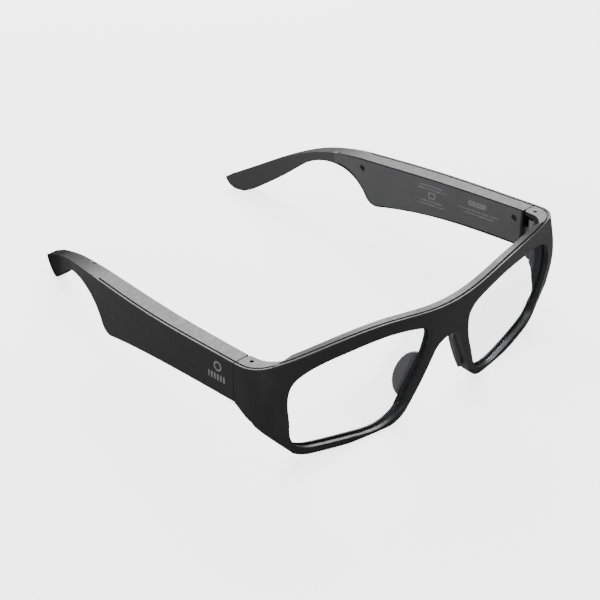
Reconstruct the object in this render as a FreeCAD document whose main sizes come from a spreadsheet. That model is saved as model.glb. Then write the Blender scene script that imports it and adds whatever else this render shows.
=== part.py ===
import FreeCAD, Part
import math
import os

# Smart glasses: a moulded wrap front and two folding temples with the electronics inside.
# Millimetres, +Z up. The front faces -Y and the temples run back to +Y.
# The shapes are drawn with y = 0 near the front; BACK then moves every piece so that the
# origin is the middle of the footprint, on the surface the glasses stand on.
# The left half (+X) is built and the right half is its mirror image.

Vector = FreeCAD.Vector
UP = Vector(0, 0, 1)
ACROSS = Vector(1, 0, 0)
BACKWARD = Vector(0, 1, 0)

DIMENSIONS = [
    # alias, value in millimetres or degrees, meaning
    ("seat_back", 75.342, "from the drawing's y = 0 to the middle of the footprint"),
    ("front_apex", -4.0, "y of the front face at the bridge, at lens mid height"),
    ("front_mid_height", 18.5, "height at which front_apex is measured"),
    ("front_tilt", 6.6, "lean of the front, top forward, in degrees"),
    ("front_depth", 3.7, "depth of the front from face to back"),
    ("nose_depth", 1.2, "how much deeper the rims are beside the nose"),
    ("wrap_low", 190.0, "plan radius of the front below the brow"),
    ("wrap_high", 145.0, "plan radius of the front at the brow line"),
    ("corner_radius", 9.0, "plan radius of the end-piece corner"),
    ("side_x", 71.0, "half width at the hinge seam"),
    ("seam_y", 20.0, "where the front ends and the temple starts"),
    ("seam_gap", 0.2, "open seam between front and temple"),
    ("plate_inner_x", 64.6, "inner edge of the end-piece"),
    ("endpiece_top", 38.7, "height of the top face at the seam"),
    ("top_slope", 0.105, "fall of the top face per millimetre towards the back"),
    ("lens_setback", 1.35, "lens face behind the front face"),
    ("lens_thick", 1.5, "lens thickness"),
    ("lens_bite", 0.7, "how far the lens reaches into the rim"),
    ("fit_gap", 0.05, "gap round parts that are snapped or laid in"),
    ("pad_length", 8.5, "nose pad, half length along the rim"),
    ("pad_reach", 5.1, "nose pad, how far it stands off the rim"),
    ("pad_thick", 1.5, "nose pad thickness"),
    ("pin_x", 66.5, "hinge pin axis"),
    ("pin_y", 16.5, "hinge pin axis"),
    ("pin_radius", 0.6, "hinge pin"),
    ("pin_bottom", 24.2, "lower end of the hinge pin"),
    ("pin_length", 13.9, "hinge pin length"),
    ("pin_running_gap", 0.05, "radial gap between pin and knuckle"),
    ("recess_wall", 1.4, "outer wall of the end-piece beside the hinge"),
    ("recess_front", 12.9, "front wall of the hinge recess"),
    ("recess_bottom", 25.3, "floor of the hinge recess"),
    ("recess_top", 37.4, "underside of the end-piece top plate"),
    ("knuckle_radius", 2.0, "hinge knuckle"),
    ("knuckle_bottom", 26.0, "lower end of the knuckle"),
    ("knuckle_length", 10.2, "knuckle height"),
    ("tongue_thick", 2.5, "thickness of the hinge tongue"),
    ("tongue_height", 5.6, "height of the tongue inside the temple"),
    ("tongue_length", 15.5, "tongue from the pin axis to its rear end"),
    ("wall", 1.3, "temple shell wall"),
    ("cover_thick", 1.2, "inner cover plate"),
    ("cover_end", 110.5, "rear end of the inner cover"),
    ("cover_start", 21.2, "front end of the inner cover"),
    ("groove_width", 0.5, "trim groove along the top outer edge"),
    ("groove_depth", 0.45, "trim groove depth"),
    ("groove_setback", 0.75, "trim groove behind the outer face"),
    ("bevel", 0.6, "bevel along the top outer edge"),
    ("board_length", 21.0, "circuit board"),
    ("board_height", 9.0, "circuit board"),
    ("board_thick", 0.8, "circuit board"),
    ("chip_side", 6.5, "radio chip, square"),
    ("chip_thick", 1.0, "radio chip"),
    ("battery_length", 20.5, "battery pouch"),
    ("battery_height", 9.0, "battery pouch"),
    ("battery_thick", 2.8, "battery pouch"),
    ("speaker_length", 12.5, "speaker capsule"),
    ("speaker_height", 6.0, "speaker capsule"),
    ("speaker_thick", 2.7, "speaker capsule"),
    ("mesh_length", 11.0, "speaker mesh"),
    ("mesh_width", 1.9, "speaker mesh"),
    ("mesh_thick", 0.2, "speaker mesh"),
    ("slot_pitch", 2.0, "speaker slots in the underside"),
    ("slot_width", 0.9, "speaker slot"),
    ("microphone_length", 3.5, "microphone"),
    ("microphone_height", 2.65, "microphone"),
    ("microphone_thick", 1.0, "microphone"),
    ("port_radius", 0.45, "microphone port in the underside"),
    ("touch_length", 18.0, "touch film"),
    ("touch_height", 7.5, "touch film"),
    ("touch_thick", 0.2, "touch film"),
    ("antenna_length", 16.0, "antenna strip"),
    ("antenna_height", 3.0, "antenna strip"),
    ("antenna_thick", 0.3, "antenna strip"),
    ("contact_radius", 0.9, "charging contact"),
    ("contact_length", 1.6, "charging contact"),
    ("contact_pitch", 4.0, "distance between the charging contacts"),
    ("screw_radius", 0.6, "cover screw thread"),
    ("screw_length", 2.6, "cover screw thread"),
    ("screw_head_radius", 1.1, "cover screw head"),
    ("screw_head_height", 0.5, "cover screw head"),
    ("screw_recess_radius", 1.3, "recess for the screw head in the cover"),
    ("screw_sink", 0.4, "screw head below the cover face"),
    ("post_radius", 1.7, "screw post inside the shell"),
]


# ---------------------------------------------------------------- document and sheet

doc = FreeCAD.newDocument("smart_glasses")
sheet = doc.addObject("Spreadsheet::Sheet", "dims")
for row, (alias, value, meaning) in enumerate(DIMENSIONS, start=1):
    sheet.set("A%d" % row, alias)
    sheet.set("B%d" % row, str(value))
    sheet.set("C%d" % row, meaning)
    sheet.setAlias("B%d" % row, alias)
doc.recompute()


def dim(alias):
    """A driving dimension, read from the sheet."""
    return float(sheet.get(alias))


BACK = Vector(0, -dim("seat_back"), 0)
TILT = math.tan(math.radians(dim("front_tilt")))
SIDE_X = dim("side_x")
SEAM_Y = dim("seam_y")
SEAM_GAP = dim("seam_gap")
PIN_X = dim("pin_x")
PIN_Y = dim("pin_y")
WALL = dim("wall")
COVER_THICK = dim("cover_thick")
FIT_GAP = dim("fit_gap")
HALF_HEIGHTS = 60.0          # taller than the object, for tools that cut right through
WIDE = 90.0                  # wider than the object, for the same purpose

pieces = []


def piece(label, shape):
    """A sub-part whose shape is worked out in code, moved to the stored frame."""
    item = doc.addObject("Part::Feature", label)
    item.Label = label
    item.Shape = shape
    item.Placement = FreeCAD.Placement(BACK, FreeCAD.Rotation())
    pieces.append(item)
    return item


def mirrored(label, source):
    """The right-hand twin of a left-hand sub-part."""
    item = doc.addObject("Part::Mirroring", label)
    item.Label = label
    item.Source = source
    item.Base = Vector(0, 0, 0)
    item.Normal = ACROSS
    pieces.append(item)
    return item


def both_sides(name, shape):
    left = piece(name + "_left", shape)
    return left, mirrored(name + "_right", left)


# ---------------------------------------------------------------- drawing helpers

def curve(points):
    """A smooth edge through a few points."""
    spline = Part.BSplineCurve()
    spline.interpolate(points)
    return spline.toShape()


def line(start, end):
    return Part.makeLine(start, end)


def arc(start, middle, end):
    return Part.Arc(start, middle, end).toShape()


def prism(edges, direction):
    """A closed outline swept straight along a vector."""
    wire = Part.Wire(Part.__sortEdges__(edges))
    return Part.Face(wire).extrude(direction)


def mirror_x(point):
    return Vector(-point.x, point.y, point.z)


def box_between(low, high):
    size = high - low
    return Part.makeBox(size.x, size.y, size.z, low)


# ---------------------------------------------------------------- the front

def wrap_radius(height):
    """The front curves more along the brow than across the lenses."""
    low_end = 27.0
    high_end = 40.0
    share = min(max((height - low_end) / (high_end - low_end), 0.0), 1.0)
    return dim("wrap_low") + share * (dim("wrap_high") - dim("wrap_low"))


def front_apex(height):
    return dim("front_apex") - (height - dim("front_mid_height")) * TILT


def plan_corner(height, inset):
    """Centre of the end-piece corner arc, and its two tangent points."""
    radius = wrap_radius(height)
    corner = dim("corner_radius")
    centre_x = SIDE_X - corner
    middle_y = front_apex(height) + radius
    centre_y = middle_y - math.sqrt((radius - corner) ** 2 - centre_x ** 2)
    own = corner - inset
    reach = math.hypot(centre_x, middle_y - centre_y)
    toward = Vector(centre_x / reach, (centre_y - middle_y) / reach, 0)
    centre = Vector(centre_x, centre_y, height)
    on_front = centre + toward * own
    half_way = Vector(toward.x + 1.0, toward.y, 0)
    half_way.normalize()
    on_middle = centre + half_way * own
    on_side = centre + ACROSS * own
    return on_front, on_middle, on_side


def front_section(height, inset, depth):
    """Closed plan outline of the front at one height.

    inset moves the outer face inwards, depth is how deep the front is from its outer face.
    """
    on_front, on_middle, on_side = plan_corner(height, inset)
    apex = Vector(0, front_apex(height) + inset, height)
    end_y = SEAM_Y
    side_end = Vector(on_side.x, end_y, height)
    inner_x = dim("plate_inner_x")
    share = min(max((38.0 - height) / 10.0, 0.0), 1.0)
    if height < 30.0:
        share = max(1.0 - (30.0 - height) / 20.0, 0.0)
    inner_end = Vector(inner_x, end_y, height)
    inner_rear = Vector(inner_x - 0.3 - 1.2 * share, 16.6, height)
    inner_front = Vector(inner_x - 0.8 - 1.9 * share, 13.8, height)
    inner_turn = Vector(inner_x - 2.4 - 2.2 * share, 11.3, height)
    back_radius = wrap_radius(height)
    back_apex = front_apex(height) + depth
    join_x = 58.0 - 1.5 * share
    thinner = 0.5 * min(max((height - 30.0) / 8.0, 0.0), 1.0)
    join_y = back_apex + back_radius - math.sqrt(back_radius ** 2 - join_x ** 2) - thinner
    back_join = Vector(join_x, join_y, height)
    back_middle = Vector(0, back_apex, height)
    edges = [
        arc(mirror_x(on_front), apex, on_front),
        arc(on_front, on_middle, on_side),
        line(on_side, side_end),
        line(side_end, inner_end),
        curve([inner_end, inner_rear, inner_front, inner_turn, back_join]),
        arc(back_join, back_middle, mirror_x(back_join)),
        curve([mirror_x(p) for p in (back_join, inner_turn, inner_front, inner_rear,
                                     inner_end)]),
        line(mirror_x(inner_end), mirror_x(side_end)),
        line(mirror_x(side_end), mirror_x(on_side)),
        arc(mirror_x(on_side), mirror_x(on_middle), mirror_x(on_front)),
    ]
    return Part.Wire(edges)


def front_slab(inset, depth):
    """The curved body that the front is cut from."""
    heights = [-3.0, 13.0, 27.0, 34.0, 40.0, 49.0]
    sections = [front_section(height, inset, depth) for height in heights]
    return Part.makeLoft(sections, True, False)


def arc_slab(near, far):
    """A thin layer that follows the front face, from depth near to depth far."""
    heights = [-3.0, 13.0, 27.0, 34.0, 40.0, 49.0]
    reach_x = 66.0
    sections = []
    for height in heights:
        radius = wrap_radius(height)
        rise = radius - math.sqrt(radius ** 2 - reach_x ** 2)
        ends = []
        for depth in (near, far):
            apex = front_apex(height) + depth
            right = Vector(reach_x, apex + rise, height)
            middle = Vector(0, apex, height)
            ends.append((mirror_x(right), middle, right))
        sections.append(Part.Wire([
            arc(ends[0][0], ends[0][1], ends[0][2]),
            line(ends[0][2], ends[1][2]),
            arc(ends[1][2], ends[1][1], ends[1][0]),
            line(ends[1][0], ends[0][0]),
        ]))
    return Part.makeLoft(sections, True, False)


def xz(x, z):
    return Vector(x, -HALF_HEIGHTS, z)


def brow_line(drop):
    """The top edge of the front, seen from the front; drop lowers it."""
    half = [(0.0, 42.7), (12.0, 43.6), (28.0, 45.5), (46.0, 43.7), (62.0, 40.3), (72.5, 39.7)]
    points = [xz(-x, z - drop) for x, z in reversed(half[1:])]
    points += [xz(x, z - drop) for x, z in half]
    return curve(points)


def rim_side_edges(side):
    """The outline of one half of the front below the brow, from its corner to the bridge."""
    def at(x, z):
        return xz(side * x, z)

    brow_end = at(72.5, 39.7)
    panel_top = at(72.5, 21.5)
    panel_low = at(66.2, 13.2)
    heel_start = at(58.2, 3.9)
    heel_middle = at(55.5, 2.4)
    heel_end = at(52.2, 1.55)
    foot_outer = at(38.0, 0.0)
    foot_inner = at(23.2, 0.0)
    toe_middle = at(18.902, 1.122)
    toe_end = at(15.7, 4.2)
    nose_middle = at(11.3, 12.8)
    arch_start = at(6.3, 24.6)
    arch_middle = at(3.8, 27.6)
    arch_top = at(0.0, 28.8)
    return [
        line(brow_end, panel_top),
        line(panel_top, panel_low),
        line(panel_low, heel_start),
        arc(heel_start, heel_middle, heel_end),
        line(heel_end, foot_outer),
        line(foot_outer, foot_inner),
        arc(foot_inner, toe_middle, toe_end),
        arc(toe_end, nose_middle, arch_start),
        arc(arch_start, arch_middle, arch_top),
    ]


def front_outline():
    edges = [brow_line(0.0)]
    edges += rim_side_edges(1)
    edges += rim_side_edges(-1)
    return prism(edges, BACKWARD * (3 * HALF_HEIGHTS))


def lens_points(grow):
    """The lens opening, seen from the front, pushed outwards by grow."""
    outline = [
        (8.9, 31.0), (10.6, 22.6), (14.1, 13.8), (17.6, 6.2), (22.4, 2.3), (36.0, 2.2),
        (49.0, 3.9), (56.3, 6.1), (59.5, 10.7), (60.8, 18.0), (61.8, 27.3), (60.1, 32.4),
        (55.1, 35.8), (42.0, 39.1), (28.0, 40.4), (16.0, 38.5), (10.4, 35.6),
    ]
    if grow == 0:
        return outline
    pushed = []
    count = len(outline)
    for index, (x, z) in enumerate(outline):
        before = outline[index - 1]
        after = outline[(index + 1) % count]
        run_x = after[0] - before[0]
        run_z = after[1] - before[1]
        length = math.hypot(run_x, run_z)
        pushed.append((x + grow * run_z / length, z - grow * run_x / length))
    return pushed


def lens_prism(side, grow):
    points = [xz(side * x, z) for x, z in lens_points(grow)]
    loop = Part.BSplineCurve()
    loop.interpolate(points, PeriodicFlag=True)
    wire = Part.Wire([loop.toShape()])
    return Part.Face(wire).extrude(BACKWARD * (3 * HALF_HEIGHTS))


def side_view_prism():
    """What the side view keeps: the falling top face and the rising lower edge of the panel."""
    slope = dim("top_slope")
    top = dim("endpiece_top")

    def at(y, z):
        return Vector(-WIDE, y, z)

    front_y = -15.0
    corner_y = 9.0
    corner = at(corner_y, top + slope * (SEAM_Y - corner_y))
    seam_top = at(SEAM_Y + 1, top - slope)
    seam_low = at(SEAM_Y + 1, 24.1)
    panel_bend = at(12.6, 19.7)
    panel_hip = at(11.6, 18.3)
    panel_low = at(12.4, 15.0)
    floor_back = at(12.4, -5.0)
    floor_front = at(front_y, -5.0)
    sky_front = at(front_y, 60.0)
    sky_back = at(corner_y - 7.0, 60.0)
    points = [corner, seam_top, seam_low, panel_bend, panel_hip, panel_low, floor_back, floor_front,
              sky_front, sky_back, corner]
    return Part.Face(Part.makePolygon(points)).extrude(ACROSS * (2 * WIDE))


def hinge_recess(side):
    """The open pocket in the end-piece that takes the hinge knuckle."""
    outer = SIDE_X - dim("recess_wall")
    low = Vector(min(side * 58.0, side * outer), dim("recess_front"), dim("recess_bottom"))
    high = Vector(max(side * 58.0, side * outer), SEAM_Y + 2, dim("recess_top"))
    return box_between(low, high)


def plate_corner_relief(side):
    """Takes off the plate's inner rear corner, so that the folding temple clears it."""
    reach = SEAM_Y - PIN_Y
    size = 6.0
    start_y = PIN_Y - 2.2
    low = Vector(min(side * PIN_X, side * (PIN_X - size)), start_y, 0)
    block = Part.makeBox(size, size, HALF_HEIGHTS, low)
    disc = Part.makeCylinder(reach, HALF_HEIGHTS, Vector(side * PIN_X, PIN_Y, 0))
    return block.cut(disc)


def pin_hole(side, radius):
    """Right through the top plate, blind in the floor of the recess."""
    start = Vector(side * PIN_X, PIN_Y, dim("pin_bottom"))
    return Part.makeCylinder(radius, HALF_HEIGHTS, start)


def trim_ribbon(near, far):
    """A thin wall that follows the front face, the corner and the side of the end-piece."""
    sections = []
    for height in [-3.0, 13.0, 27.0, 34.0, 40.0, 49.0]:
        edges = []
        ends = []
        for inset in (near, far):
            on_front, on_middle, on_side = plan_corner(height, inset)
            apex = Vector(0, front_apex(height) + inset, height)
            rear = Vector(on_side.x, SEAM_Y + 1, height)
            ends.append(rear)
            edges.append(arc(mirror_x(on_front), apex, on_front))
            edges.append(arc(on_front, on_middle, on_side))
            edges.append(line(on_side, rear))
            edges.append(arc(mirror_x(on_front), mirror_x(on_middle), mirror_x(on_side)))
            edges.append(line(mirror_x(on_side), mirror_x(rear)))
        edges.append(line(ends[0], ends[1]))
        edges.append(line(mirror_x(ends[0]), mirror_x(ends[1])))
        sections.append(Part.Wire(Part.__sortEdges__(edges)))
    return Part.makeLoft(sections, True, False)


def front_trim_grooves():
    """The fine groove that follows the top edge of the front and of the end-pieces."""
    near = dim("groove_setback")
    ribbon = trim_ribbon(near, near + dim("groove_width"))
    depth = dim("groove_depth")
    brow_band = prism([
        brow_line(0.0),
        brow_line(depth),
        line(xz(72.5, 39.7), xz(72.5, 39.7 - depth)),
        line(xz(-72.5, 39.7), xz(-72.5, 39.7 - depth)),
    ], BACKWARD * (3 * HALF_HEIGHTS))
    start = 9.0
    rear = SEAM_Y + 1
    corners = []
    for y, lift in ((start, 1.0), (rear, 1.0), (rear, -depth), (start, -depth), (start, 1.0)):
        corners.append(Vector(-WIDE, y, dim("endpiece_top") + dim("top_slope") * (SEAM_Y - y) + lift))
    plate_band = Part.Face(Part.makePolygon(corners)).extrude(ACROSS * (2 * WIDE))
    return [ribbon.common(brow_band), ribbon.common(plate_band)]


def lens_layer():
    near = dim("lens_setback")
    return arc_slab(near, near + dim("lens_thick"))


def lens_seat():
    near = dim("lens_setback") - FIT_GAP
    return arc_slab(near, near + dim("lens_thick") + 2 * FIT_GAP)


def nose_backing():
    """The rims are deeper beside the nose, where the pads stand on them."""
    deeper = front_slab(0.0, dim("front_depth") + dim("nose_depth"))
    swell = Part.makeCylinder(94.0, 60.0, Vector(-30.0, -90.86, -1.8), ACROSS)
    deeper = deeper.common(swell)
    sides = []
    for side in (1, -1):
        corners = [xz(side * x, z) for x, z in (
            (2.0, 27.5), (8.4, 25.0), (13.2, 13.0), (17.0, 5.6), (21.0, -2.0), (8.0, -2.0),
            (2.0, 27.5))]
        sides.append(prism(Part.makePolygon(corners).Edges, BACKWARD * (3 * HALF_HEIGHTS)))
    return [deeper.common(part) for part in sides]


def make_front():
    body = front_slab(0.0, dim("front_depth"))
    for part in nose_backing():
        body = body.fuse(part)
    body = body.common(front_outline())
    body = body.common(side_view_prism())
    seat = lens_seat()
    for side in (1, -1):
        body = body.cut(lens_prism(side, 0.0))
        body = body.cut(seat.common(lens_prism(side, dim("lens_bite") + FIT_GAP)))
        body = body.cut(hinge_recess(side))
        body = body.cut(plate_corner_relief(side))
        body = body.cut(pin_hole(side, dim("pin_radius")))
    for groove in front_trim_grooves():
        body = body.cut(groove)
    return body


def make_lens(side):
    return lens_layer().common(lens_prism(side, dim("lens_bite")))


front_shape = make_front().Solids[0]
print("front", front_shape.ShapeType, front_shape.isValid(), round(front_shape.Volume, 1),
      len(front_shape.Solids))
front = piece("front_frame", front_shape)
lens = make_lens(1).Solids[0]
print("lens", lens.isValid(), round(lens.Volume, 1), len(lens.Solids))
both_sides("lens", lens)


# ---------------------------------------------------------------- nose pads

def make_pad():
    """A half-ellipse plate that stands off the back of the rim beside the nose."""
    upper = Vector(8.1, 0.9, 23.1)
    lower = Vector(14.3, 3.0, 6.1)
    along = lower - upper
    along.normalize()
    middle = (upper + lower) * 0.5
    outward = Vector(0.5, 0.866, 0)
    outward = outward - along * outward.dot(along)
    outward.normalize()
    facing = along.cross(outward)
    facing.normalize()
    thick = dim("pad_thick")
    root = middle - facing * (thick / 2) - outward * 0.6
    half = dim("pad_length")
    reach = dim("pad_reach") + 0.6
    samples = 9
    rim = []
    for step in range(samples):
        angle = math.pi * step / (samples - 1)
        rim.append(root + along * (half * math.cos(angle)) + outward * (reach * math.sin(angle)))
    foot = outward * 1.6
    edges = [
        curve(rim),
        line(rim[-1], rim[-1] - foot),
        line(rim[-1] - foot, rim[0] - foot),
        line(rim[0] - foot, rim[0]),
    ]
    plate = Part.Face(Part.Wire(edges)).extrude(facing * thick)
    pad = plate.cut(front_shape)
    solids = sorted(pad.Solids, key=lambda solid: solid.Volume)
    return solids[-1]


pad = make_pad()
print("pad", pad.isValid(), round(pad.Volume, 1), [round(v, 1) for v in (
    pad.BoundBox.XMin, pad.BoundBox.XMax, pad.BoundBox.YMin, pad.BoundBox.YMax,
    pad.BoundBox.ZMin, pad.BoundBox.ZMax)])
both_sides("nose_pad", pad)


# ---------------------------------------------------------------- temple outline

TEMPLE_START = SEAM_Y + SEAM_GAP
TOP_AT_SEAM = dim("endpiece_top")
TOP_SLOPE = dim("top_slope")
BOW = [(18.0, 67.85), (40.0, 67.3), (60.0, 66.4), (90.0, 63.5), (105.0, 61.6), (120.0, 58.4),
       (135.0, 53.3), (150.0, 46.8), (163.0, 43.6)]
LEAN = [(0.0, 0.0), (20.0, 0.0), (60.0, 0.015), (90.0, 0.03), (112.0, 0.03), (143.0, 0.0),
        (170.0, 0.0)]
HALF_THICK = [(18.0, 3.2), (40.0, 3.3), (60.0, 3.45), (90.0, 3.4), (105.0, 3.1), (120.0, 2.65),
              (135.0, 2.4), (150.0, 2.4), (163.0, 2.2)]


def lean_at(y):
    """How much the temple leans outwards, per millimetre below its top, at y."""
    for (y0, k0), (y1, k1) in zip(LEAN, LEAN[1:]):
        if y0 <= y <= y1:
            return k0 + (k1 - k0) * (y - y0) / (y1 - y0)
    return 0.0


def bow_points(shift, side, height):
    points = []
    for (y, middle), (_, half) in zip(BOW, HALF_THICK):
        out = lean_at(y) * (TOP_AT_SEAM - height)
        points.append(Vector(middle + out + side * (half - shift), y, height))
    return points


def bow_slab(near_shift, near_side, far_shift, far_side):
    """The layer of the temple between two of its faces.

    A side of +1 is the outer face and -1 the inner face; a shift moves it into the material.
    """
    wires = []
    for height in (-15.0, 55.0):
        near = bow_points(near_shift, near_side, height)
        far = bow_points(far_shift, far_side, height)
        wires.append(Part.Wire([curve(near), line(near[-1], far[-1]), curve(far[::-1]),
                                line(far[0], near[0])]))
    return Part.makeLoft(wires, True, True)


def bow_middle(y):
    """Middle of the temple thickness at y, and the slope of the bow there."""
    spline = Part.BSplineCurve()
    spline.interpolate([Vector(middle, at, 0) for at, middle in BOW])
    cut = Part.makeLine(Vector(0, y, 0), Vector(WIDE, y, 0))
    point = spline.toShape().distToShape(cut)[1][0][0]
    share = spline.parameter(point)
    tangent = spline.tangent(share)[0]
    return point.x, tangent.x / tangent.y


def half_thick(y):
    for (y0, h0), (y1, h1) in zip(HALF_THICK, HALF_THICK[1:]):
        if y0 <= y <= y1:
            return h0 + (h1 - h0) * (y - y0) / (y1 - y0)
    return HALF_THICK[-1][1]


def top_height(y):
    return TOP_AT_SEAM - TOP_SLOPE * (y - SEAM_Y)


def yz(y, z):
    return Vector(0, y, z)


UNDERSIDE = [(TEMPLE_START, 23.8), (40.0, 21.6), (58.0, 19.1), (75.0, 15.7), (88.3, 12.1)]
REAR_EDGE = [(95.2, 15.0), (98.4, 19.0), (103.2, 22.2), (109.5, 23.6), (116.0, 23.0),
             (122.0, 20.5), (128.0, 16.1), (134.0, 10.8), (140.0, 5.8), (144.5, 2.5), (149.3, 0.0)]
CREST = [(104.0, 29.6), (112.0, 27.95), (120.0, 25.5), (128.0, 21.95), (136.0, 17.6),
         (144.0, 12.7), (152.0, 7.75), (156.6, 4.8)]


def temple_profile():
    """The temple seen from the side, swept across the whole width."""
    crest_start = yz(97.0, top_height(97.0))
    front_top = yz(TEMPLE_START, top_height(TEMPLE_START))
    front_low = yz(TEMPLE_START, 23.8)
    crest = Part.BSplineCurve()
    crest.interpolate(Points=[crest_start] + [yz(y, z) for y, z in CREST],
                      InitialTangent=Vector(0, 20, -20 * TOP_SLOPE),
                      FinalTangent=Vector(0, 12, -8.5))
    tip_top = yz(156.6, 4.8)
    tip_end = yz(157.45, 4.3)
    tip_low = yz(157.3, 3.6)
    heel = yz(155.09, 0.98)
    rest_back = yz(151.8, 0.0)
    rest_front = yz(149.3, 0.0)
    edges = [
        line(front_low, front_top),
        line(front_top, crest_start),
        crest.toShape(),
        arc(tip_top, tip_end, tip_low),
        arc(tip_low, heel, rest_back),
        line(rest_back, rest_front),
        curve([yz(y, z) for y, z in REAR_EDGE]),
        arc(yz(95.2, 15.0), yz(92.6, 12.25), yz(88.3, 12.1)),
        curve([yz(y, z) for y, z in UNDERSIDE]),
    ]
    return prism(edges, ACROSS * WIDE)


def cover_outline(grow):
    """The inner cover seen from the side; grow makes the recess it lies in."""
    inset = 0.55 - grow
    start = dim("cover_start") - grow
    end = dim("cover_end") + grow
    low = [(58.0, 19.1), (75.0, 15.6), (88.2, 12.25)]
    rear = [(95.1, 15.4), (98.3, 19.4), (103.2, 22.9)]
    edges_low = [yz(start, 23.7 + inset)] + [yz(y, z + inset) for y, z in low]
    edges_rear = [yz(y - inset * 0.8, z + inset * 0.6) for y, z in rear]
    edges_rear += [yz(end, 23.7 + inset)]
    turn = yz(92.6 - inset * 0.5, 12.35 + inset)
    edges = [
        curve(edges_low),
        arc(edges_low[-1], turn, edges_rear[0]),
        curve(edges_rear),
        line(edges_rear[-1], yz(end, top_height(end) - inset - 0.25)),
        line(yz(end, top_height(end) - inset - 0.25), yz(97.0, top_height(97.0) - inset)),
        line(yz(97.0, top_height(97.0) - inset), yz(start, top_height(start) - inset)),
        line(yz(start, top_height(start) - inset), edges_low[0]),
    ]
    return prism(edges, ACROSS * WIDE)


def cavity_outline():
    """The hollow for the electronics, seen from the side."""
    top_wall = WALL
    points = [(22.6, 24.9), (40.0, 23.0), (58.0, 20.5), (75.0, 17.0), (86.5, 13.9), (90.4, 13.5),
              (93.4, 16.2), (97.0, 20.6), (102.0, 24.0), (107.0, 25.0)]
    outline = [yz(y, z) for y, z in points]
    outline.append(yz(107.0, top_height(107.0) - top_wall - 0.3))
    outline.append(yz(97.0, top_height(97.0) - top_wall))
    outline.append(yz(22.6, top_height(22.6) - top_wall))
    outline.append(outline[0])
    return Part.Face(Part.makePolygon(outline)).extrude(ACROSS * WIDE)


SCREW_SPOTS = [(24.2, 33.9), (96.5, 26.4)]
TONGUE_SPOTS = [(25.3, 28.8), (29.6, 28.8)]
TONGUE_OUTER = PIN_X + dim("knuckle_radius")
TONGUE_INNER = TONGUE_OUTER - dim("tongue_thick")


def inner_face(y, z):
    middle, _ = bow_middle(y)
    return middle - half_thick(y) + lean_at(y) * (TOP_AT_SEAM - z)


def outer_face(y, z):
    middle, _ = bow_middle(y)
    return middle + half_thick(y) + lean_at(y) * (TOP_AT_SEAM - z)


def cylinder_across(radius, x_from, x_to, y, z):
    return Part.makeCylinder(radius, x_to - x_from, Vector(x_from, y, z), ACROSS)


# ---------------------------------------------------------------- simple sub-parts

def primitive(kind, label, sizes):
    """A box or cylinder whose sizes are bound to the sheet."""
    item = doc.addObject(kind, label)
    item.Label = label
    for name, formula in sizes.items():
        item.setExpression(name, formula)
    return item


def temple_turn(y, slope):
    """Rotation that lays a box along the bow of the temple and along its slope."""
    _, bow = bow_middle(y)
    around_up = FreeCAD.Rotation(UP, -math.degrees(math.atan(bow)))
    around_across = FreeCAD.Rotation(ACROSS, -math.degrees(math.atan(slope)))
    around_back = FreeCAD.Rotation(BACKWARD, -math.degrees(math.atan(lean_at(y))))
    return around_up.multiply(around_back).multiply(around_across)


def lay_in(item, y, z, x_outer, size_x, size_y, size_z, slope):
    """Puts a box with the middle of its outer face at x_outer, y, z.

    It returns the middle of its inner face.
    """
    turn = temple_turn(y, slope)
    corner = turn.multVec(Vector(-size_x, -size_y / 2, -size_z / 2))
    item.Placement = FreeCAD.Placement(Vector(x_outer, y, z) + corner + BACK, turn)
    pieces.append(item)
    return Vector(x_outer, y, z) + turn.multVec(Vector(-size_x, 0, 0))


def drawn(item):
    """The shape of a finished sub-part, moved back to drawing coordinates."""
    doc.recompute()
    shape = item.Shape.copy()
    shape.translate(BACK * -1)
    return shape


def box_sizes(thick, length, height):
    return {"Length": "dims." + thick, "Width": "dims." + length, "Height": "dims." + height}


# hinge pin
pin = primitive("Part::Cylinder", "hinge_pin_left",
                {"Radius": "dims.pin_radius", "Height": "dims.pin_length"})
pin.Placement = FreeCAD.Placement(Vector(PIN_X, PIN_Y, dim("pin_bottom")) + BACK,
                                  FreeCAD.Rotation())
pieces.append(pin)
mirrored("hinge_pin_right", pin)

# hinge tongue: the knuckle on the pin and the arm that is screwed into the temple
knuckle = primitive("Part::Cylinder", "knuckle",
                    {"Radius": "dims.knuckle_radius", "Height": "dims.knuckle_length"})
knuckle.Placement.Base = Vector(PIN_X, PIN_Y, dim("knuckle_bottom"))
arm = primitive("Part::Box", "tongue_arm",
                box_sizes("tongue_thick", "tongue_length", "tongue_height"))
arm.Placement.Base = Vector(TONGUE_INNER, PIN_Y, dim("knuckle_bottom"))
joined = doc.addObject("Part::Fuse", "tongue_blank")
joined.Base = knuckle
joined.Tool = arm
bore = primitive("Part::Cylinder", "tongue_bore",
                 {"Radius": "dims.pin_radius + dims.pin_running_gap",
                  "Height": "dims.knuckle_length + 2"})
bore.Placement.Base = Vector(PIN_X, PIN_Y, dim("knuckle_bottom") - 1)
holes = [bore]
for number, (y, z) in enumerate(TONGUE_SPOTS, start=1):
    hole = primitive("Part::Cylinder", "tongue_hole_%d" % number,
                     {"Radius": "dims.screw_radius", "Height": "dims.tongue_thick + 2"})
    hole.Placement = FreeCAD.Placement(Vector(TONGUE_INNER - 1, y, z),
                                       FreeCAD.Rotation(BACKWARD, 90))
    sink = primitive("Part::Cylinder", "tongue_sink_%d" % number,
                     {"Radius": "dims.screw_head_radius", "Height": "dims.screw_head_height"})
    sink.Placement = FreeCAD.Placement(Vector(TONGUE_INNER, y, z), FreeCAD.Rotation(BACKWARD, 90))
    holes.append(hole)
    holes.append(sink)
all_holes = doc.addObject("Part::MultiFuse", "tongue_cuts")
all_holes.Shapes = holes
tongue = doc.addObject("Part::Cut", "hinge_tongue_left")
tongue.Base = joined
tongue.Tool = all_holes
tongue.Placement.Base = BACK
pieces.append(tongue)
mirrored("hinge_tongue_right", tongue)
tongue_shape = drawn(tongue)


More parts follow.
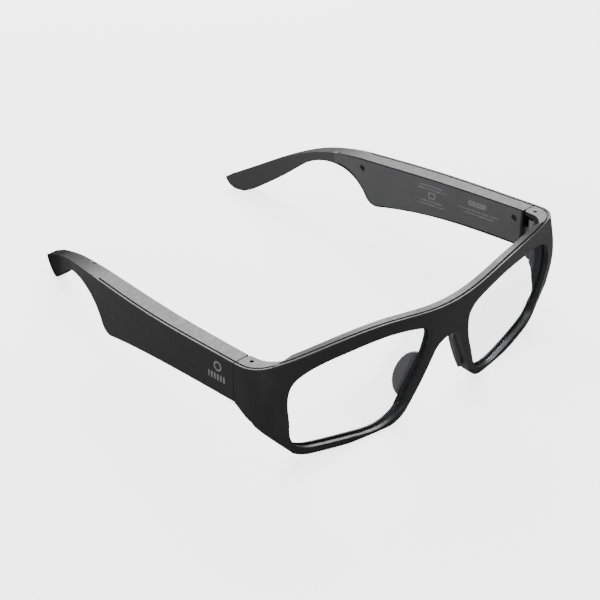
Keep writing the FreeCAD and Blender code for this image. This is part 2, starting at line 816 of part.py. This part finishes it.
def screw_pair(label, spots, head_faces, thread_alias):
    """Two identical screws that share one sub-part; heads towards the wearer."""
    turned = FreeCAD.Rotation(BACKWARD, 90)
    bodies = []
    for number, ((y, z), head_face) in enumerate(zip(spots, head_faces), start=1):
        head = primitive("Part::Cylinder", "%s_head_%d" % (label, number),
                         {"Radius": "dims.screw_head_radius",
                          "Height": "dims.screw_head_height"})
        head.Placement = FreeCAD.Placement(Vector(head_face, y, z), turned)
        thread = primitive("Part::Cylinder", "%s_thread_%d" % (label, number),
                           {"Radius": "dims.screw_radius",
                            "Height": "dims.%s + dims.screw_head_height" % thread_alias})
        thread.Placement = FreeCAD.Placement(Vector(head_face, y, z), turned)
        screw = doc.addObject("Part::Fuse", "%s_screw_%d" % (label, number))
        screw.Base = head
        screw.Tool = thread
        slot = doc.addObject("Part::Box", "%s_slot_%d" % (label, number))
        slot.Length = 0.25
        slot.Width = 1.5
        slot.Height = 0.3
        slot.Placement.Base = Vector(head_face - 0.01, y - 0.75, z - 0.15)
        slotted = doc.addObject("Part::Cut", "%s_slotted_%d" % (label, number))
        slotted.Base = screw
        slotted.Tool = slot
        bodies.append(slotted)
    pair = doc.addObject("Part::Compound", label)
    pair.Links = bodies
    pair.Placement.Base = BACK
    pieces.append(pair)
    return pair


tongue_screws = screw_pair("tongue_screws_left", TONGUE_SPOTS, [TONGUE_INNER, TONGUE_INNER],
                           "screw_length")
mirrored("tongue_screws_right", tongue_screws)
cover_faces = [inner_face(y, z) + dim("screw_sink") for y, z in SCREW_SPOTS]
cover_screws = screw_pair("cover_screws_left", SCREW_SPOTS, cover_faces, "screw_length")
mirrored("cover_screws_right", cover_screws)

# electronics along the temple
PRESS = 0.12                 # how far a laid-in part sinks into the curved outer wall

board_y = 44.6
board_z = 29.0
board = primitive("Part::Box", "main_board_left",
                  box_sizes("board_thick", "board_length", "board_height"))
board_face = lay_in(board, board_y, board_z, outer_face(board_y, board_z) - WALL + PRESS,
                    dim("board_thick"), dim("board_length"), dim("board_height"), TOP_SLOPE)
mirrored("main_board_right", board)

chip_shift = 3.0
chip = primitive("Part::Box", "radio_chip_left", box_sizes("chip_thick", "chip_side", "chip_side"))
chip_turn = temple_turn(board_y, TOP_SLOPE)
chip_corner = board_face + chip_turn.multVec(
    Vector(-dim("chip_thick"), chip_shift - dim("chip_side") / 2, -dim("chip_side") / 2))
chip.Placement = FreeCAD.Placement(chip_corner + BACK, chip_turn)
pieces.append(chip)
mirrored("radio_chip_right", chip)

battery_y = 67.3
battery_z = 27.2
touch = primitive("Part::Box", "touch_sensor_left",
                  box_sizes("touch_thick", "touch_length", "touch_height"))
touch_face = lay_in(touch, battery_y, battery_z, outer_face(battery_y, battery_z) - WALL + PRESS,
                    dim("touch_thick"), dim("touch_length"), dim("touch_height"), TOP_SLOPE)
mirrored("touch_sensor_right", touch)
battery = primitive("Part::Box", "battery_left",
                    box_sizes("battery_thick", "battery_length", "battery_height"))
lay_in(battery, touch_face.y, touch_face.z, touch_face.x, dim("battery_thick"),
       dim("battery_length"), dim("battery_height"), TOP_SLOPE)
battery.Placement.Rotation = touch.Placement.Rotation
mirrored("battery_right", battery)

speaker_y = 84.2
speaker_z = 18.75
speaker_slope = 0.25
speaker = primitive("Part::Box", "speaker_left",
                    box_sizes("speaker_thick", "speaker_length", "speaker_height"))
speaker_face = lay_in(speaker, speaker_y, speaker_z, outer_face(speaker_y, speaker_z) - WALL + PRESS,
                      dim("speaker_thick"), dim("speaker_length"), dim("speaker_height"),
                      speaker_slope)
mirrored("speaker_right", speaker)

mesh = primitive("Part::Box", "speaker_mesh_left",
                 box_sizes("mesh_width", "mesh_length", "mesh_thick"))
mesh_turn = temple_turn(speaker_y, speaker_slope)
mesh_corner = speaker_face + mesh_turn.multVec(
    Vector(0.4, -dim("mesh_length") / 2, -dim("speaker_height") / 2 - dim("mesh_thick")))
mesh.Placement = FreeCAD.Placement(mesh_corner + BACK, mesh_turn)
pieces.append(mesh)
mirrored("speaker_mesh_right", mesh)

mic_y = 37.0
mic = primitive("Part::Box", "microphone_left",
                {"Length": "dims.microphone_height", "Width": "dims.microphone_length",
                 "Height": "dims.microphone_thick"})
mic_middle, _ = bow_middle(mic_y)
mic_x = mic_middle + 0.55
mic.Placement = FreeCAD.Placement(
    Vector(mic_x - dim("microphone_height") / 2, mic_y - dim("microphone_length") / 2, 23.2)
    + BACK, FreeCAD.Rotation())
pieces.append(mic)
mirrored("microphone_right", mic)

antenna_y = 45.0
antenna = primitive("Part::Box", "antenna_left",
                    box_sizes("antenna_height", "antenna_length", "antenna_thick"))
antenna_middle, _ = bow_middle(antenna_y)
antenna_turn = temple_turn(antenna_y, TOP_SLOPE)
antenna_top = top_height(antenna_y) - WALL + PRESS
antenna_corner = Vector(antenna_middle + 0.6, antenna_y, antenna_top) + antenna_turn.multVec(
    Vector(-dim("antenna_height") / 2, -dim("antenna_length") / 2, -dim("antenna_thick")))
antenna.Placement = FreeCAD.Placement(antenna_corner + BACK, antenna_turn)
pieces.append(antenna)
mirrored("antenna_right", antenna)

contact_mid_y = 50.0
contact_list = []
for number, place in enumerate((-0.5, 0.5), start=1):
    contact = primitive("Part::Cylinder", "contact_%d" % number,
                        {"Radius": "dims.contact_radius", "Height": "dims.contact_length"})
    contact_y = contact_mid_y + place * dim("contact_pitch")
    contact_middle, _ = bow_middle(contact_y)
    underside = 20.3 - 0.125 * (contact_y - contact_mid_y)
    contact.Placement.Base = Vector(contact_middle, contact_y, underside + 0.15)
    contact_list.append(contact)
contacts = doc.addObject("Part::Compound", "charge_contacts_left")
contacts.Links = contact_list
contacts.Placement.Base = BACK
pieces.append(contacts)
mirrored("charge_contacts_right", contacts)


# ---------------------------------------------------------------- temple cover and shell

def make_cover():
    layer = bow_slab(0.0, -1, COVER_THICK, -1)
    cover = layer.common(cover_outline(0.0))
    for y, z in SCREW_SPOTS:
        face = inner_face(y, z)
        sink = dim("screw_sink") + dim("screw_head_height")
        cover = cover.cut(cylinder_across(dim("screw_recess_radius"), face - 2, face + sink, y, z))
        cover = cover.cut(cylinder_across(dim("screw_radius"), face, face + 3, y, z))
    return cover


def make_shell():
    profile = temple_profile()
    shell = profile.common(bow_slab(0.0, -1, 0.0, 1))
    recess = bow_slab(-1.0, -1, COVER_THICK, -1)
    shell = shell.cut(recess.common(cover_outline(FIT_GAP)))
    hollow = bow_slab(COVER_THICK - 0.1, -1, WALL, 1)
    cavity = hollow.common(cavity_outline())
    post_layer = bow_slab(COVER_THICK, -1, WALL, 1)
    keep = []
    for y, z in SCREW_SPOTS:
        post = cylinder_across(dim("post_radius"), PIN_X - 12, PIN_X + 8, y, z)
        keep.append(post.common(post_layer))
    for y, z in TONGUE_SPOTS:
        keep.append(cylinder_across(1.5, TONGUE_OUTER, PIN_X + 8, y, z).common(post_layer))
    for solid in keep:
        cavity = cavity.cut(solid)
    shell = shell.cut(cavity)
    shell = shell.cut(tongue_shape)
    for pair in (tongue_screws, cover_screws):
        for solid in drawn(pair).Solids:
            box = solid.BoundBox
            shell = shell.cut(cylinder_across(dim("screw_radius"), box.XMin, box.XMax,
                                              box.Center.y, box.Center.z))
    for item in (board, touch, battery, speaker, mesh, mic, antenna, contacts):
        shell = shell.cut(drawn(item))
    for solid in drawn(contacts).Solids:
        centre = solid.BoundBox.Center
        shell = shell.cut(Part.makeCylinder(dim("contact_radius"), 2.0,
                                            Vector(centre.x, centre.y, centre.z - 2.0)))
    port = Part.makeCylinder(dim("port_radius"), 6.0, Vector(mic_x, mic_y, 18.0))
    shell = shell.cut(port)
    slot_start = 79.2
    for number in range(4):
        slot_y = slot_start + number * dim("slot_pitch")
        middle, _ = bow_middle(slot_y)
        low = Vector(middle - 0.4, slot_y - dim("slot_width") / 2, 8.0)
        shell = shell.cut(Part.makeBox(2.2, dim("slot_width"), 8.2, low))
    shell = shell.cut(temple_groove())
    return shell


def temple_groove():
    """The fine groove along the top outer edge of the temple."""
    near = dim("groove_setback")
    ribbon = bow_slab(near + dim("groove_width"), 1, near, 1)
    depth = dim("groove_depth")
    rear = 97.0
    start = TEMPLE_START - 1
    band = Part.Face(Part.makePolygon([
        yz(start, top_height(start) + 1), yz(rear, top_height(rear) + 1),
        yz(rear, top_height(rear) - depth), yz(start, top_height(start) - depth),
        yz(start, top_height(start) + 1)])).extrude(ACROSS * WIDE)
    return ribbon.common(band)


cover_shape = make_cover().Solids[0]
print("cover", cover_shape.isValid(), round(cover_shape.Volume, 1), len(cover_shape.Solids))
both_sides("temple_cover", cover_shape)
shell_shape = make_shell().Solids[0]
print("shell", shell_shape.isValid(), round(shell_shape.Volume, 1), len(shell_shape.Solids))
both_sides("temple_shell", shell_shape)


# ---------------------------------------------------------------- write the pieces

os.makedirs("parts", exist_ok=True)
doc.recompute()
for item in pieces:
    bad = [state for state in item.State if state in ("Invalid", "Error")]
    if bad or item.Shape.isNull() or not item.Shape.isValid():
        raise SystemExit("failed: " + item.Label)
    item.Shape.exportStep("parts/" + item.Label + ".step")
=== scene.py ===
import math

import bpy
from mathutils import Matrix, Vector


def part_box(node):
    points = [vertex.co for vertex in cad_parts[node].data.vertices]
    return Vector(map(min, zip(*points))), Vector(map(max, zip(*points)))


# Smart glasses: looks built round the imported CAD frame. Metres, +Z up.

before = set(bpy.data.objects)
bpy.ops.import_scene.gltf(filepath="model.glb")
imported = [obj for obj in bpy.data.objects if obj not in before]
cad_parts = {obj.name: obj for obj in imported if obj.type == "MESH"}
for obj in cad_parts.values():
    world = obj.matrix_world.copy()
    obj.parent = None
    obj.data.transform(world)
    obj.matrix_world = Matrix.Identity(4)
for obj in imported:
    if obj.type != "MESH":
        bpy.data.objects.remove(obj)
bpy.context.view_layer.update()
MM = 0.001

# Measures of the temples that the prints, the tail's painted light and its gloss fade follow,
# in millimetres.
SEAM_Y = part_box("temple_shell_left")[0][1] / MM - 0.2     # where the front ends
TOP_AT_SEAM = 38.7                                        # height of the top face there
TOP_SLOPE = 0.105                                         # its fall per millimetre backwards
OUTER_FACE_X = 69.5                                       # the outer faces lie beyond this
TAIL_START = 88.0                                         # just before the inner cover ends
TAIL_FADE = (94.0, 118.0)                                 # where the gloss dies away

# Colours, linear.
FRAME_COLOUR = (0.013, 0.013, 0.0136)
COVER_COLOUR = (0.105, 0.105, 0.108)
PAD_COLOUR = (0.055, 0.055, 0.057)
# Painted light: the lighter colour laid on the tail's side towards the head, in place of the
# light falling there.
TAIL_PAINTED_LIGHT = (0.07, 0.07, 0.072)
MARK_COLOUR = (0.42, 0.42, 0.42)
FRAME_ROUGH = 0.36
FRAME_EDGE = 0.35 * MM
FRAME_SPECULAR = 0.45


# ---------------------------------------------------------------- material helpers

def new_material(name):
    material = bpy.data.materials.new(name)
    material.use_nodes = True
    tree = material.node_tree
    tree.nodes.clear()
    output = tree.nodes.new("ShaderNodeOutputMaterial")
    shader = tree.nodes.new("ShaderNodeBsdfPrincipled")
    tree.links.new(shader.outputs["BSDF"], output.inputs["Surface"])
    return material, tree, shader


def position(tree):
    """Object coordinates in metres, the same as the row frame."""
    return tree.nodes.new("ShaderNodeTexCoord").outputs["Object"]


def noise(tree, vector, scale, detail=3.0, roughness=0.5):
    node = tree.nodes.new("ShaderNodeTexNoise")
    node.inputs["Scale"].default_value = scale
    node.inputs["Detail"].default_value = detail
    node.inputs["Roughness"].default_value = roughness
    tree.links.new(vector, node.inputs["Vector"])
    return node.outputs["Fac"]


def remap(tree, value, low, high):
    node = tree.nodes.new("ShaderNodeMapRange")
    node.inputs["From Min"].default_value = 0.3
    node.inputs["From Max"].default_value = 0.7
    node.inputs["To Min"].default_value = low
    node.inputs["To Max"].default_value = high
    tree.links.new(value, node.inputs["Value"])
    return node.outputs["Result"]


def mix_colour(tree, factor, first, second):
    node = tree.nodes.new("ShaderNodeMix")
    node.data_type = "RGBA"
    node.inputs[6].default_value = (first[0], first[1], first[2], 1.0)
    node.inputs[7].default_value = (second[0], second[1], second[2], 1.0)
    tree.links.new(factor, node.inputs[0])
    return node.outputs[2]


def math_node(tree, operation, first, second=None):
    node = tree.nodes.new("ShaderNodeMath")
    node.operation = operation
    for socket, value in zip(node.inputs, (first, second)):
        if value is None:
            continue
        if isinstance(value, (int, float)):
            socket.default_value = value
        else:
            tree.links.new(value, socket)
    return node.outputs["Value"]


def split(tree, vector):
    node = tree.nodes.new("ShaderNodeSeparateXYZ")
    tree.links.new(vector, node.inputs["Vector"])
    return node.outputs["X"], node.outputs["Y"], node.outputs["Z"]


def moulded(name, colour, rough, grain=0.12, edge=0.25 * MM, specular=0.5):
    """Moulded plastic: fine spark-eroded grain, uneven gloss and softly rounded edges."""
    material, tree, shader = new_material(name)
    where = position(tree)
    darker = [value * 0.86 for value in colour]
    lighter = [min(value * 1.14, 1.0) for value in colour]
    cloud = noise(tree, where, 90.0, 4.0)
    base = mix_colour(tree, cloud, darker, lighter)
    tree.links.new(base, shader.inputs["Base Color"])
    wear = noise(tree, where, 420.0, 5.0)
    tree.links.new(remap(tree, wear, rough - 0.05, rough + 0.05), shader.inputs["Roughness"])
    shader.inputs["Specular IOR Level"].default_value = specular
    rounded = tree.nodes.new("ShaderNodeBevel")
    rounded.samples = 8
    rounded.inputs["Radius"].default_value = edge
    fine = noise(tree, where, 5200.0, 2.0)
    bump = tree.nodes.new("ShaderNodeBump")
    bump.inputs["Strength"].default_value = grain
    bump.inputs["Distance"].default_value = 0.05 * MM
    tree.links.new(fine, bump.inputs["Height"])
    tree.links.new(rounded.outputs["Normal"], bump.inputs["Normal"])
    tree.links.new(bump.outputs["Normal"], shader.inputs["Normal"])
    return material, tree, shader, base


def metal(name, colour, rough, streaks=(1.0, 1.0, 14.0)):
    material, tree, shader = new_material(name)
    where = position(tree)
    stretch = tree.nodes.new("ShaderNodeMapping")
    stretch.inputs["Scale"].default_value = streaks
    tree.links.new(where, stretch.inputs["Vector"])
    lines = noise(tree, stretch.outputs["Vector"], 900.0, 4.0)
    darker = [value * 0.82 for value in colour]
    tree.links.new(mix_colour(tree, lines, darker, colour), shader.inputs["Base Color"])
    tree.links.new(remap(tree, lines, rough - 0.06, rough + 0.08), shader.inputs["Roughness"])
    shader.inputs["Metallic"].default_value = 1.0
    bump = tree.nodes.new("ShaderNodeBump")
    bump.inputs["Strength"].default_value = 0.15
    bump.inputs["Distance"].default_value = 0.02 * MM
    tree.links.new(lines, bump.inputs["Height"])
    tree.links.new(bump.outputs["Normal"], shader.inputs["Normal"])
    return material


def woven_mesh():
    """Black woven dust mesh over the speaker slots."""
    made = moulded("speaker_cloth", (0.02, 0.02, 0.021), 0.55)
    material, tree, shader, base = made
    weave = 0.32 * MM
    x, y, z = split(tree, position(tree))
    waves = []
    for axis in (y, z):
        turn = math_node(tree, "MULTIPLY", axis, 2.0 * math.pi / weave)
        waves.append(math_node(tree, "ABSOLUTE", math_node(tree, "SINE", turn)))
    thread = math_node(tree, "MAXIMUM", waves[0], waves[1])
    bump = tree.nodes.new("ShaderNodeBump")
    bump.inputs["Strength"].default_value = 0.6
    bump.inputs["Distance"].default_value = 0.06 * MM
    tree.links.new(thread, bump.inputs["Height"])
    tree.links.new(bump.outputs["Normal"], shader.inputs["Normal"])
    return material


def clear_lens():
    """Thin demonstration lens: almost invisible face on, with a faint coating reflection."""
    coating_share = 0.16
    material, tree, shader = new_material("clear_lens")
    output = [node for node in tree.nodes if node.type == "OUTPUT_MATERIAL"][0]
    tree.nodes.remove(shader)
    where = position(tree)
    clear = tree.nodes.new("ShaderNodeBsdfTransparent")
    clear.inputs["Color"].default_value = (0.998, 0.999, 0.999, 1.0)
    gloss = tree.nodes.new("ShaderNodeBsdfGlossy")
    haze = noise(tree, where, 60.0, 3.0)
    tree.links.new(remap(tree, haze, 0.02, 0.05), gloss.inputs["Roughness"])
    tint = mix_colour(tree, haze, (0.78, 0.92, 0.88), (0.85, 0.9, 1.0))
    tree.links.new(tint, gloss.inputs["Color"])
    facing = tree.nodes.new("ShaderNodeFresnel")
    facing.inputs["IOR"].default_value = 1.22
    share = math_node(tree, "MULTIPLY", facing.outputs["Fac"], coating_share)
    blend = tree.nodes.new("ShaderNodeMixShader")
    tree.links.new(share, blend.inputs["Fac"])
    tree.links.new(clear.outputs["BSDF"], blend.inputs[1])
    tree.links.new(gloss.outputs["BSDF"], blend.inputs[2])
    tree.links.new(blend.outputs["Shader"], output.inputs["Surface"])
    return material


def paint(nodes, material):
    for name in nodes:
        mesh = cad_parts[name].data
        mesh.materials.clear()
        mesh.materials.append(material)


def pair(*names):
    return [name + side for name in names for side in ("_left", "_right")]


# ---------------------------------------------------------------- prints, and the tail's painted light and gloss fade

def below_top(tree):
    """Distances along a temple and down from its sloping top edge, in millimetres."""
    x, y, z = split(tree, position(tree))
    along = math_node(tree, "MULTIPLY", y, 1.0 / MM)
    along = math_node(tree, "ADD", along, -SEAM_Y)
    height = math_node(tree, "MULTIPLY", z, 1.0 / MM)
    slope = math_node(tree, "MULTIPLY", along, TOP_SLOPE)
    down = math_node(tree, "SUBTRACT", TOP_AT_SEAM, math_node(tree, "ADD", height, slope))
    return x, along, down


def inside(tree, value, low, high):
    above = math_node(tree, "GREATER_THAN", value, low)
    under = math_node(tree, "LESS_THAN", value, high)
    return math_node(tree, "MULTIPLY", above, under)


def bar(tree, along, down, rect):
    start, end, top, bottom = rect
    return math_node(tree, "MULTIPLY", inside(tree, along, start, end),
                     inside(tree, down, top, bottom))


def broken(tree, along, down, pitch):
    """Breaks a bar into small strokes, so that it reads as print without being any text."""
    strokes = tree.nodes.new("ShaderNodeTexNoise")
    strokes.inputs["Scale"].default_value = 1.0 / pitch
    strokes.inputs["Detail"].default_value = 0.0
    point = tree.nodes.new("ShaderNodeCombineXYZ")
    tree.links.new(along, point.inputs["X"])
    tree.links.new(down, point.inputs["Y"])
    tree.links.new(point.outputs["Vector"], strokes.inputs["Vector"])
    return math_node(tree, "GREATER_THAN", strokes.outputs["Fac"], 0.45)


def add_print(made, masks, colour, strength):
    """Lays a light print over a moulded material where the masks are 1."""
    material, tree, shader, base = made
    total = masks[0]
    for mask in masks[1:]:
        total = math_node(tree, "MAXIMUM", total, mask)
    mix = tree.nodes.new("ShaderNodeMix")
    mix.data_type = "RGBA"
    tree.links.new(math_node(tree, "MULTIPLY", total, strength), mix.inputs[0])
    tree.links.new(base, mix.inputs[6])
    mix.inputs[7].default_value = (colour[0], colour[1], colour[2], 1.0)
    tree.links.new(mix.outputs[2], shader.inputs["Base Color"])
    return material


def tail_painted_light_and_matt(made, specular):
    """The tail is matt and dark, and its side towards the head has painted light: a lighter
    colour that stands in for the light falling on it.
    """
    facing_head = -0.55
    rougher = 0.34
    gloss_lost = 0.9
    material, tree, shader, base = made
    # Painted light: faces turned towards the head, behind the tail start, get a lighter colour
    # in place of the light falling on them.
    x, y, z = split(tree, tree.nodes.new("ShaderNodeNewGeometry").outputs["Normal"])
    side, along, height = split(tree, position(tree))
    inward = math_node(tree, "MULTIPLY", math_node(tree, "SIGN", side), x)
    share = math_node(tree, "LESS_THAN", inward, facing_head)
    behind = math_node(tree, "GREATER_THAN", along, (SEAM_Y + TAIL_START) * MM)
    mix = tree.nodes.new("ShaderNodeMix")
    mix.data_type = "RGBA"
    tree.links.new(math_node(tree, "MULTIPLY", share, behind), mix.inputs[0])
    tree.links.new(base, mix.inputs[6])
    mix.inputs[7].default_value = (TAIL_PAINTED_LIGHT[0], TAIL_PAINTED_LIGHT[1], TAIL_PAINTED_LIGHT[2], 1.0)
    tree.links.new(mix.outputs[2], shader.inputs["Base Color"])
    fade = tree.nodes.new("ShaderNodeMapRange")
    fade.inputs["From Min"].default_value = (SEAM_Y + TAIL_FADE[0]) * MM
    fade.inputs["From Max"].default_value = (SEAM_Y + TAIL_FADE[1]) * MM
    fade.inputs["To Min"].default_value = 0.0
    fade.inputs["To Max"].default_value = 1.0
    tree.links.new(along, fade.inputs["Value"])
    matt = math_node(tree, "MULTIPLY", fade.outputs["Result"], rougher)
    wear = shader.inputs["Roughness"].links[0].from_socket
    tree.links.new(math_node(tree, "ADD", wear, matt), shader.inputs["Roughness"])
    dull = math_node(tree, "MULTIPLY", fade.outputs["Result"], specular * gloss_lost)
    tree.links.new(math_node(tree, "SUBTRACT", specular, dull),
                   shader.inputs["Specular IOR Level"])
    return material, tree, shader, mix.outputs[2]


def outer_mark(made):
    """A plain ring over a row of upright strokes, on the outer side beside the hinge."""
    tree = made[1]
    ring_along, ring_down = 7.9, 4.6
    ring_inner, ring_outer = 1.25, 1.85
    row_box = (4.5, 12.6, 7.6, 10.0)
    pitch, width = 1.5, 0.5
    x, along, down = below_top(tree)
    outside = math_node(tree, "GREATER_THAN", math_node(tree, "ABSOLUTE", x), OUTER_FACE_X * MM)
    across = math_node(tree, "SUBTRACT", along, ring_along)
    lower = math_node(tree, "SUBTRACT", down, ring_down)
    square = math_node(tree, "ADD", math_node(tree, "MULTIPLY", across, across),
                       math_node(tree, "MULTIPLY", lower, lower))
    ring = inside(tree, math_node(tree, "SQRT", square), ring_inner, ring_outer)
    beat = math_node(tree, "FRACT", math_node(tree, "DIVIDE", along, pitch))
    row = math_node(tree, "MULTIPLY", bar(tree, along, down, row_box),
                    inside(tree, beat, 0.0, width))
    both = math_node(tree, "MAXIMUM", ring, row)
    return add_print(made, [math_node(tree, "MULTIPLY", both, outside)], MARK_COLOUR, 0.55)


def inner_print(made):
    """Rows of strokes on the inner cover, where such glasses carry their rating print.

    Each rectangle is start and end along the temple, then top and bottom below its top edge.
    """
    tree = made[1]
    x, along, down = below_top(tree)
    strokes = broken(tree, along, down, 0.45)
    rows = [(11.0, 30.0, 7.1, 7.6), (13.5, 27.0, 8.5, 9.0), (17.0, 25.5, 3.4, 5.6),
            (37.5, 48.0, 2.9, 3.4), (36.0, 49.0, 4.3, 4.8), (37.5, 48.0, 9.4, 9.9),
            (36.5, 49.0, 10.8, 11.3)]
    masks = [math_node(tree, "MULTIPLY", bar(tree, along, down, row), strokes) for row in rows]
    box = bar(tree, along, down, (41.0, 44.2, 5.8, 8.4))
    hollow = bar(tree, along, down, (41.4, 43.8, 6.2, 8.0))
    masks.append(math_node(tree, "SUBTRACT", box, hollow))
    return add_print(made, masks, MARK_COLOUR, 0.45)


# ---------------------------------------------------------------- materials of the pieces

frame_plastic = moulded("frame_plastic", FRAME_COLOUR, FRAME_ROUGH, edge=FRAME_EDGE,
                        specular=FRAME_SPECULAR)[0]
temple_plastic = outer_mark(tail_painted_light_and_matt(
    moulded("temple_plastic", FRAME_COLOUR, FRAME_ROUGH, edge=FRAME_EDGE,
            specular=FRAME_SPECULAR), FRAME_SPECULAR))
cover_plastic = inner_print(moulded("cover_plastic", COVER_COLOUR, 0.5, specular=0.4))
pad_plastic = moulded("pad_plastic", PAD_COLOUR, 0.5)[0]

paint(["front_frame"], frame_plastic)
paint(pair("temple_shell"), temple_plastic)
paint(pair("temple_cover"), cover_plastic)
paint(pair("nose_pad"), pad_plastic)
paint(pair("lens"), clear_lens())
paint(pair("hinge_tongue"), metal("hinge_steel", (0.5, 0.49, 0.48), 0.38))
paint(pair("hinge_pin"), metal("pin_steel", (0.42, 0.42, 0.43), 0.3))
paint(pair("tongue_screws", "cover_screws"), metal("screw_steel", (0.09, 0.09, 0.095), 0.35))
paint(pair("charge_contacts"), metal("contact_gold", (0.86, 0.62, 0.28), 0.25))
paint(pair("speaker_mesh"), woven_mesh())
paint(pair("battery"), metal("battery_foil", (0.60, 0.60, 0.62), 0.42, (6.0, 1.0, 1.0)))
paint(pair("main_board"), moulded("board_mask", (0.010, 0.045, 0.025), 0.36)[0])
paint(pair("radio_chip"), moulded("chip_epoxy", (0.014, 0.014, 0.015), 0.5)[0])
paint(pair("speaker"), metal("speaker_can", (0.30, 0.30, 0.31), 0.35))
paint(pair("microphone"), metal("microphone_can", (0.72, 0.66, 0.50), 0.3))
paint(pair("touch_sensor"), moulded("touch_film", (0.24, 0.12, 0.035), 0.34)[0])
paint(pair("antenna"), moulded("antenna_ceramic", (0.52, 0.52, 0.48), 0.4)[0])


# ---------------------------------------------------------------- studio

FLOOR_BOUNCE = 0.22      # how much light the floor sends back into the object
FLOOR_GLOW = 2.8         # lifts the floor to the pale tone of a studio sweep
SKY_LIGHT = 0.16         # what the surroundings send onto the object
SKY_SEEN = 2.8           # the same surroundings as the camera sees them, past the floor's end
FLOOR_HALF = 3.0         # half the side of the floor
FLOOR_DROP = 0.02 * MM   # keeps the floor clear of the faces that stand on it

# name, place, aim, width, height, watts
LIGHTS = [
    ("overhead", (-0.1, 0.15, 1.0), (0.0, 0.0, 0.0), 0.7, 0.7, 5.0),
    ("back_box", (0.42, 0.58, 0.56), (0.0, -0.05, 0.03), 0.75, 0.5, 12.5),
    ("front_fill", (-0.62, -0.75, 0.42), (0.0, -0.03, 0.02), 0.7, 0.5, 6.2),
    ("left_strip", (-0.9, -0.10, 0.50), (0.0, -0.05, 0.02), 0.7, 0.25, 2.5),
]

# The camera, in degrees and millimetres.
CAMERA_AZIMUTH = -42.651
CAMERA_ELEVATION = 33.7
CAMERA_TARGET = (-61.609, -75.342, 67.569)
CAMERA_DISTANCE = 471.367
SENSOR_WIDTH = 36.0
FOCAL_LENGTH = 96.81


def area(name, place, aim, width, height, power):
    light = bpy.data.lights.new(name, "AREA")
    light.shape = "RECTANGLE"
    light.size = width
    light.size_y = height
    light.energy = power
    item = bpy.data.objects.new(name, light)
    bpy.context.scene.collection.objects.link(item)
    item.location = place
    direction = Vector(aim) - Vector(place)
    item.rotation_euler = direction.to_track_quat("-Z", "Y").to_euler()


def studio():
    mesh = bpy.data.meshes.new("floor")
    corners = [(x * FLOOR_HALF, y * FLOOR_HALF, 0.0)
               for x, y in ((-1, -1), (1, -1), (1, 1), (-1, 1))]
    mesh.from_pydata(corners, [], [(0, 1, 2, 3)])
    floor = bpy.data.objects.new("floor", mesh)
    floor.location.z = -FLOOR_DROP
    bpy.context.scene.collection.objects.link(floor)
    material, tree, shader = new_material("floor")
    shader.inputs["Roughness"].default_value = 0.9
    shader.inputs["Specular IOR Level"].default_value = 0.1
    cloud = noise(tree, position(tree), 3.0, 2.0)
    seen = mix_colour(tree, cloud, (0.90, 0.90, 0.90), (0.93, 0.93, 0.93))
    path = tree.nodes.new("ShaderNodeLightPath")
    seen_only = path.outputs["Is Camera Ray"]
    shade = tree.nodes.new("ShaderNodeMix")
    shade.data_type = "RGBA"
    shade.inputs[6].default_value = (FLOOR_BOUNCE, FLOOR_BOUNCE, FLOOR_BOUNCE, 1.0)
    tree.links.new(seen_only, shade.inputs[0])
    tree.links.new(seen, shade.inputs[7])
    tree.links.new(shade.outputs[2], shader.inputs["Base Color"])
    shader.inputs["Emission Color"].default_value = (1.0, 1.0, 1.0, 1.0)
    tree.links.new(math_node(tree, "MULTIPLY", seen_only, FLOOR_GLOW),
                   shader.inputs["Emission Strength"])
    mesh.materials.append(material)
    world = bpy.data.worlds.new("studio")
    world.use_nodes = True
    sky = world.node_tree.nodes["Background"]
    sky.inputs["Color"].default_value = (1.0, 1.0, 1.0, 1.0)
    direct = world.node_tree.nodes.new("ShaderNodeLightPath").outputs["Is Camera Ray"]
    shown = math_node(world.node_tree, "MULTIPLY", direct, SKY_SEEN - SKY_LIGHT)
    world.node_tree.links.new(math_node(world.node_tree, "ADD", shown, SKY_LIGHT),
                              sky.inputs["Strength"])
    bpy.context.scene.world = world
    for light in LIGHTS:
        area(*light)


def camera():
    data = bpy.data.cameras.new("camera")
    data.sensor_width = SENSOR_WIDTH
    data.lens = FOCAL_LENGTH
    data.clip_start = 0.01
    item = bpy.data.objects.new("camera", data)
    bpy.context.scene.collection.objects.link(item)
    target = Vector(CAMERA_TARGET) * MM
    azimuth = math.radians(CAMERA_AZIMUTH)
    elevation = math.radians(CAMERA_ELEVATION)
    away = Vector((math.sin(azimuth) * math.cos(elevation),
                   -math.cos(azimuth) * math.cos(elevation), math.sin(elevation)))
    item.location = target + away * CAMERA_DISTANCE * MM
    item.rotation_euler = (away * -1).to_track_quat("-Z", "Y").to_euler()
    bpy.context.scene.camera = item


studio()
camera()
